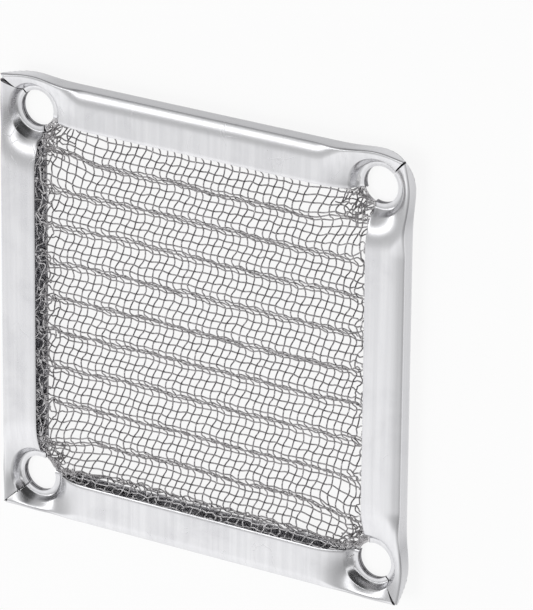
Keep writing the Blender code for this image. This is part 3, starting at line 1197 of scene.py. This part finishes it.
    def crush(self, x: float, y: float) -> float:
        """Work out how crumpled the weave is at a place.

        Args:
            x: Place along the ridges.
            y: Place across the ridges.

        Returns:
            The share of the full crumple, 0 in the open field.
        """
        reach = self.crumple_reach
        sides = ((-x, self.crush_left), (x, self.crush_right),
                 (-y, self.crush_front), (y, self.crush_back))
        amount = max(most * ease((side - self.tray.edge + reach) / reach) for side, most in sides)
        near = ease((self.corner_crush - self.tray.from_hole(x, y)) / self.corner_width)
        return max(amount, self.crush_corner * near)

    def pushed_in(self, x: float, y: float) -> tuple[float, float]:
        """Push a place in plan inward, as the walls have pushed the edges of the mesh.

        Args:
            x: Place along the ridges.
            y: Place across the ridges.

        Returns:
            X and Y after the push.
        """
        start = self.tray.edge - self.crumple_reach
        reach = self.size / 2 - start
        x -= math.copysign(self.squeeze * ease((abs(x) - start) / reach), x)
        y += self.squeeze * ease((-y - start) / reach)
        return x, y

    def clear_of_hole(self, x: float, y: float) -> tuple[float, float]:
        """Push a place in plan out of the screw hole, as the punch has gathered the mesh.

        Args:
            x: Place along the ridges.
            y: Place across the ridges.

        Returns:
            X and Y after the push.
        """
        tray = self.tray
        side, up = abs(x) - tray.hole, abs(y) - tray.hole
        away = max(math.hypot(side, up), 1e-6)
        if away >= self.punch_reach:
            return x, y
        inward = (-side - up) / (away * math.sqrt(2))
        near = tray.hole_radius + self.hole_clearance
        core = mix(self.notch_radius, near, ease((inward - self.notch_from) / self.notch_over))
        share = max(away - self.cut_radius, 0.0) / (self.punch_reach - self.cut_radius)
        moved = core + (self.punch_reach - core) * share**self.punch_gather
        side, up = side * moved / away, up * moved / away
        return math.copysign(tray.hole + side, x), math.copysign(tray.hole + up, y)

    def limits(self, x: float, y: float) -> tuple[float, float]:
        """Work out the room that the sheets leave for a wire.

        Args:
            x: Place along the ridges.
            y: Place across the ridges.

        Returns:
            The lowest and the highest place for the wire's middle.
        """
        tray = self.tray
        radius = self.wire / 2
        under = ease((max(abs(x), abs(y)) - tray.edge + self.under_from) / self.under_over)
        low = mix(0.0, tray.sheet, under) + radius + self.floor_clearance
        away = tray.from_hole(x, y)
        roof = tray.cup_height(away - tray.cup_spread, SideEnd()) - tray.sheet
        high = mix(tray.height, roof - self.sheet_clearance, under) - radius - self.roof_clearance
        past = max(away - tray.hole_radius, 0.0)
        beside = low + self.rise_beside_hole + self.slope_beside_hole * past
        return low, max(min(high, beside), low + self.floor_clearance)

    def allowed(self, x: float, y: float) -> bool:
        """Return whether a wire reaches a place before it is cut off at the screw hole."""
        return self.tray.from_hole(x, y) > self.cut_radius

    def flat_path(self, kind: WireSet, number: int) -> list[Point]:
        """Places along one wire in plan, over and under the wires that it crosses.

        Args:
            kind: The set that the wire belongs to.
            number: Its number, from the left or from the bottom.

        Returns:
            (x, y, lift) for each place.
        """
        half = self.size / 2
        rise = self.wire / 2
        path = []
        if kind is WireSet.LENGTHWISE:
            x0 = (number + 0.5) * self.pitch - half
            total = self.lengths[-1]
            steps = int(total / self.pitch * self.steps_per_pitch)
            for s in np.linspace(0, total, steps + 1):
                y = float(np.interp(s, self.lengths, self.samples))
                lift = rise * math.cos(math.pi * (s / self.pitch - 0.5 + number))
                path.append((x0, y, lift))
        else:
            s = (number + 0.5) * self.pitch
            y0 = float(np.interp(s, self.lengths, self.samples))
            steps = int(self.size / self.pitch * self.steps_per_pitch)
            for x in np.linspace(-half, half, steps + 1):
                lift = -rise * math.cos(math.pi * ((x + half) / self.pitch - 0.5 + number))
                path.append((x, y0, lift))
        return path

    def flap_paths(self, kind: WireSet, number: int) -> list[np.ndarray]:
        """Places along the parts of one wire that lie double where a corner was folded over.

        Args:
            kind: The set that the wire belongs to.
            number: Its number.

        Returns:
            An array of places for each part.
        """
        along = 1 if kind is WireSet.LENGTHWISE else 0
        uneven = 1 - self.flap_uneven + self.flap_uneven * math.sin(number * self.flap_turn)
        shortest = self.flap_steps // 3
        flat = self.flat_path(kind, number)
        parts = []
        for side in (-1, 1):
            part = [
                (x + self.flap_shift, y - self.flap_shift, lift + self.flap_lift)
                for x, y, lift in flat
                if 0 < side * (x, y)[along] < self.tray.hole
                and self.tray.from_hole(x, y) < self.flap_reach * uneven
            ]
            if len(part) > shortest:
                parts.append(self.laid(part, number + self.flap_seed))
        return [part for part in parts if len(part) > shortest]

    def laid(self, path: list[Point], number: int) -> np.ndarray:
        """Lay a flat path with its lifts on the wave.

        Args:
            path: (x, y, lift) for each place.
            number: The wire's number.

        Returns:
            The places, without those past the ends of the wire.
        """
        placed = []
        tiny = 0.02 * MM
        for x, y, lift in path:
            slope = (self.height(x, y + tiny) - self.height(x, y - tiny)) / (2 * tiny)
            scale = lift / math.hypot(slope, 1.0)
            point = (x, y - slope * scale, self.height(x, y) + scale)
            placed.append(self.crumpled(*point, float(number)))
        first = last = len(placed) // 2
        while first > 0 and self.allowed(*placed[first - 1][:2]):
            first -= 1
        while last < len(placed) - 1 and self.allowed(*placed[last + 1][:2]):
            last += 1
        return np.array([self.settled(*place) for place in placed[first:last + 1]])

    def settled(self, x: float, y: float, z: float) -> Point:
        """Keep a place between the sheets and clear of the screw hole.

        Args:
            x: Place along the ridges.
            y: Place across the ridges.
            z: Height.

        Returns:
            The place that the wire can take.
        """
        x, y = self.clear_of_hole(x, y)
        low, high = self.limits(x, y)
        return x, y, min(max(z, low), high)

    def straight_wire(self, steps: int) -> bpy.types.Object:
        """Model one straight wire of unit length, divided along its length.

        Args:
            steps: Number of divisions, a multiple of 4.

        Returns:
            The wire, along Z from -0.5 to 0.5.
        """
        deselect_all()
        bpy.ops.mesh.primitive_cylinder_add(
            vertices=self.wire_sides, radius=self.wire / 2, depth=1.0)
        wire = bpy.context.active_object
        mesh = wire.data
        bpy.ops.object.mode_set(mode="EDIT")
        bpy.ops.mesh.select_mode(type="EDGE")
        bpy.ops.mesh.select_all(action="DESELECT")
        bpy.ops.object.mode_set(mode="OBJECT")
        for cuts in (3, steps // 4 - 1):
            for edge in mesh.edges:
                first, second = (mesh.vertices[index].co for index in edge.vertices)
                edge.select = abs(first.z - second.z) > 1e-6
            bpy.ops.object.mode_set(mode="EDIT")
            bpy.ops.mesh.subdivide(number_cuts=cuts)
            bpy.ops.mesh.select_all(action="DESELECT")
            bpy.ops.object.mode_set(mode="OBJECT")
        return wire

    @staticmethod
    def bend_wire(wire: bpy.types.Object, path: np.ndarray, steps: int) -> None:
        """Bend a straight wire along a path.

        Args:
            wire: The straight wire.
            path: Places of its rings of vertices.
            steps: Number of divisions of the straight wire.
        """
        spots = np.linspace(0, len(path) - 1, steps + 1)
        knots = np.arange(len(path))
        line = np.stack([np.interp(spots, knots, path[:, axis]) for axis in range(3)], axis=1)
        ahead = np.gradient(line, axis=0)
        ahead /= np.linalg.norm(ahead, axis=1)[:, None]
        up = np.array([0.0, 0.0, 1.0])
        across = np.cross(ahead, up)
        across /= np.maximum(np.linalg.norm(across, axis=1), 1e-9)[:, None]
        over = np.cross(across, ahead)
        rest = vertex_places(wire.data)
        ring = np.rint((rest[:, 2] + 0.5) * steps).astype(int)
        bent = line[ring] + across[ring] * rest[:, :1] + over[ring] * rest[:, 1:2]
        wire.data.vertices.foreach_set("co", bent.ravel())

    def bent_wires(self, paths: list[np.ndarray], steps: int) -> list[bpy.types.Object]:
        """Model one wire along each path.

        Args:
            paths: Places along each wire.
            steps: Number of divisions of each wire.

        Returns:
            The wires.
        """
        model = self.straight_wire(steps)
        wires = []
        for path in paths:
            copy = model.copy()
            copy.data = model.data.copy()
            bpy.context.collection.objects.link(copy)
            self.bend_wire(copy, path, steps)
            wires.append(copy)
        bpy.data.objects.remove(model, do_unlink=True)
        return wires

    def build_set(self, kind: WireSet, finish: bpy.types.Material) -> bpy.types.Object:
        """Weave one set of wires.

        Args:
            kind: Which set.
            finish: Material of the wire.

        Returns:
            All the wires of the set as one piece.
        """
        total = self.size if kind is WireSet.LENGTHWISE else self.lengths[-1]
        numbers = range(int(total / self.pitch))
        paths = [self.laid(self.flat_path(kind, number), number) for number in numbers]
        flaps = [part for number in numbers for part in self.flap_paths(kind, number)]
        longest = max(len(path) for path in paths) // 4 * 4
        wires = self.bent_wires(paths, longest) + self.bent_wires(flaps, self.flap_steps)
        woven = join(wires, kind.value)
        bpy.ops.object.shade_smooth_by_angle(angle=math.radians(self.smooth_angle))
        woven.data.materials.clear()
        woven.data.materials.append(finish)
        return woven


# The studio


@dataclass(frozen=True)
class Lamp:
    """A soft square lamp aimed at the filter."""

    name: str
    place: Point
    power: float
    size: float


@dataclass
class Studio:
    """Floor, surroundings, lamps and camera."""

    camera_place: Point = (0.33541, 0.25917, 0.53652)
    camera_right: Point = (0.85195, 0.00902, -0.52355)
    camera_down: Point = (0.20320, -0.92718, 0.31470)
    camera_ahead: Point = (-0.48258, -0.37450, -0.79175)
    focal_pixels: float = 5467.0
    image_height: float = 610.0
    sensor: float = 36.0
    nearest: float = 0.01
    floor_size: float = 6.0
    floor_drop: float = 0.02 * MM
    floor_tones: tuple[float, float] = (0.93, 0.95)
    floor_white: float = 0.88
    lamps: tuple[Lamp, ...] = (
        Lamp("key_lamp", (-0.45, -0.20, 0.75), 2.2, 0.45),
    )
    # Brightness of the surroundings against the Y of the direction, darker strips included
    bands: tuple[tuple[float, float], ...] = (
        (-1.0, 0.95), (-0.55, 1.05), (-0.41, 1.02), (-0.344, 0.86), (-0.22, 0.64),
        (0.05, 0.50), (0.17, 0.62), (0.24, 2.0), (0.34, 2.0), (0.44, 0.50), (1.0, 0.42),
    )
    # Fading against the X of the direction: from, to, and the shares kept at the two
    side_fade: tuple[float, ...] = (-0.45, 0.85, 1.0, 0.55)
    # A darker corner: where its Y begins, and its shade against the X of the direction
    corner_rise: tuple[float, ...] = (0.36, 0.48)
    corner_shade: tuple[float, ...] = (-0.42, -0.15, 0.0, 0.85)

    def make_floor(self) -> bpy.types.Object:
        """Lay a plain pale floor that looks white but keeps the filter's shadow.

        Returns:
            The floor.
        """
        deselect_all()
        bpy.ops.mesh.primitive_plane_add(size=self.floor_size,
                                         location=(0.0, 0.0, -self.floor_drop))
        floor = bpy.context.active_object
        floor.name = "floor"
        bpy.ops.object.transform_apply(location=True)
        material = bpy.data.materials.new("pale_floor")
        material.use_nodes = True
        tree = material.node_tree
        bench = NodeBench(tree)
        tree.nodes.clear()
        rays = bench.add("ShaderNodeLightPath").outputs
        seen = bench.math("ADD", rays["Is Camera Ray"], rays["Is Glossy Ray"])
        seen = bench.math("ADD", seen, rays["Is Transmission Ray"], clamp=True)
        share = bench.math("MULTIPLY", seen, self.floor_white)
        grain = bench.add("ShaderNodeTexNoise", {"Scale": 900.0, "Detail": 2.0})
        darker, paler = self.floor_tones
        pale = bench.blend(bench.remap(grain.outputs[0], 0.3, 0.7), grey(darker), grey(paler))
        matte = bench.add("ShaderNodeBsdfDiffuse", {"Color": pale})
        white = bench.add("ShaderNodeEmission", {"Color": grey(1.0), "Strength": 1.0})
        both = bench.add("ShaderNodeMixShader",
                         {0: share, 1: matte.outputs[0], 2: white.outputs[0]})
        bench.add("ShaderNodeOutputMaterial", {"Surface": both.outputs[0]})
        floor.data.materials.append(material)
        return floor

    def make_world(self) -> None:
        """Surround the filter with a pale tent that has a bright panel and darker sides."""
        world = bpy.data.worlds.new("tent")
        bpy.context.scene.world = world
        world.use_nodes = True
        tree = world.node_tree
        tree.nodes.clear()
        bench = NodeBench(tree)
        toward = bench.add("ShaderNodeTexCoord").outputs["Generated"]
        x, y, _ = bench.add("ShaderNodeSeparateXYZ", {0: toward}).outputs
        level = bench.add("ShaderNodeValToRGB", {0: bench.math("MULTIPLY_ADD", y, 0.5, 0.5)})
        ramp = level.color_ramp
        ramp.interpolation = "LINEAR"
        top = max(value for _, value in self.bands)
        while len(ramp.elements) < len(self.bands):
            ramp.elements.new(0.5)
        for element, (place, value) in zip(ramp.elements, self.bands):
            element.position = place * 0.5 + 0.5
            element.color = grey(value / top)
        shaded = bench.math("MULTIPLY", bench.remap(y, *self.corner_rise),
                            bench.remap(x, *self.corner_shade))
        across = bench.math("MULTIPLY", bench.remap(x, *self.side_fade),
                            bench.math("SUBTRACT", 1.0, shaded))
        strength = bench.math("MULTIPLY", bench.math("MULTIPLY", level.outputs[0], top), across)
        seen = bench.add("ShaderNodeLightPath").outputs["Is Camera Ray"]
        lit = bench.math("SUBTRACT", 1.0, seen)
        mixed = bench.math("ADD", bench.math("MULTIPLY", strength, lit), seen)
        shell = bench.add("ShaderNodeBackground", {"Color": grey(1.0), "Strength": mixed})
        bench.add("ShaderNodeOutputWorld", {"Surface": shell.outputs[0]})

    def make_lamps(self) -> None:
        """Hang the soft lamps."""
        for lamp in self.lamps:
            data = bpy.data.lights.new(lamp.name, "AREA")
            data.energy = lamp.power
            data.size = lamp.size
            shown = bpy.data.objects.new(lamp.name, data)
            bpy.context.collection.objects.link(shown)
            shown.location = lamp.place
            aim = -Vector(lamp.place)
            shown.rotation_euler = aim.to_track_quat("-Z", "Y").to_euler()
            shown.visible_glossy = False
            shown.visible_camera = False

    def make_camera(self) -> None:
        """Set the camera where the photograph was taken from."""
        data = bpy.data.cameras.new("camera")
        data.sensor_width = self.sensor
        data.lens = self.focal_pixels * self.sensor / self.image_height
        data.clip_start = self.nearest
        camera = bpy.data.objects.new("camera", data)
        bpy.context.collection.objects.link(camera)
        axes = (Vector(self.camera_right), -Vector(self.camera_down),
                -Vector(self.camera_ahead))
        stand = Matrix(axes).transposed().to_4x4()
        stand.translation = self.camera_place
        camera.matrix_world = stand
        bpy.context.scene.camera = camera

    def build(self) -> None:
        """Set up the whole studio."""
        self.make_floor()
        self.make_world()
        self.make_lamps()
        self.make_camera()
        bpy.context.scene.view_settings.view_transform = "Standard"


# Putting it together


def report(piece: bpy.types.Object) -> None:
    """Log a piece's name and its number of triangles."""
    piece.data.calc_loop_triangles()
    LOG.info("%s: %d triangles", piece.name, len(piece.data.loop_triangles))


def main() -> None:
    """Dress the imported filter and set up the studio."""
    logging.basicConfig(level=logging.INFO, format="%(name)s %(message)s")
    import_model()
    grain, wear = make_drawn_grain(), make_handling_wear()
    aluminium = ALUMINIUM.build(grain, wear)
    steel = STEEL_WIRE.build(grain, wear)

    tray = FoldedTray()
    folded = tray.build(aluminium, TORN_EDGE_AND_SHADE.build(grain, wear))
    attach(folded, BODY)
    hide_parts("frame")
    report(folded)

    mesh = WovenMesh(tray)
    for kind in WireSet:
        wires = mesh.build_set(kind, steel)
        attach(wires, BODY)
        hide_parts("wire_mesh")
        report(wires)

    Studio().build()


if __name__ == "__main__":
    main()
